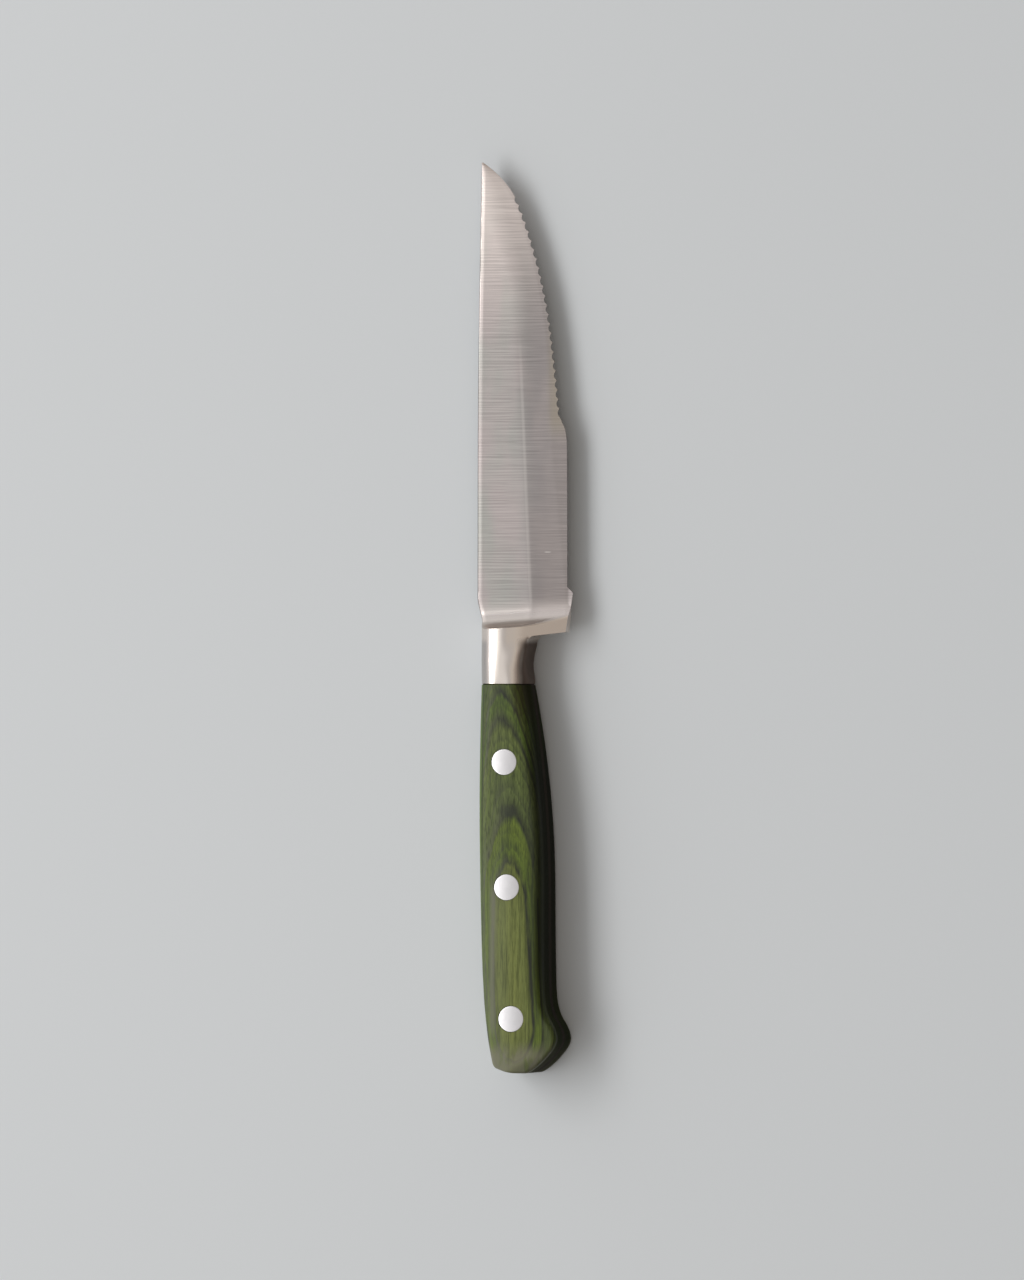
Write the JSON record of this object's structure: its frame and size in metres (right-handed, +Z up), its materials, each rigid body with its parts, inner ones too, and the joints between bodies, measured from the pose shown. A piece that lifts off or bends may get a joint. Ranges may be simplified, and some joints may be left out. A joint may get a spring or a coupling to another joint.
{
  "type": "steak knife",
  "caption": "Steak knife with a serrated steel blade, a forged neck and a full tang between two dyed laminated wood scales held by rivets.",
  "frame": {"origin": "below the middle of the knife's length and width, on the surface that its lower scale lies on", "axes": "+Y along the knife towards the tip, +X towards the cutting edge, +Z up out of the upper scale"},
  "size_m": [0.025, 0.2301, 0.015],
  "materials": {
    "steel": "brushed across the blade, polished at the neck and heel",
    "dyed_wood": "moss green laminated wood with dark layers, satin",
    "rivet_steel": "satin, ground flush"
  },
  "bodies": {
    "root": {"blade": "steel", "upper_scale": "dyed_wood", "lower_scale": "dyed_wood", "front_rivet_sleeve": "rivet_steel", "front_rivet_pin": "rivet_steel", "middle_rivet_sleeve": "rivet_steel", "middle_rivet_pin": "rivet_steel", "rear_rivet_sleeve": "rivet_steel", "rear_rivet_pin": "rivet_steel"}
  },
  "joints": []
}
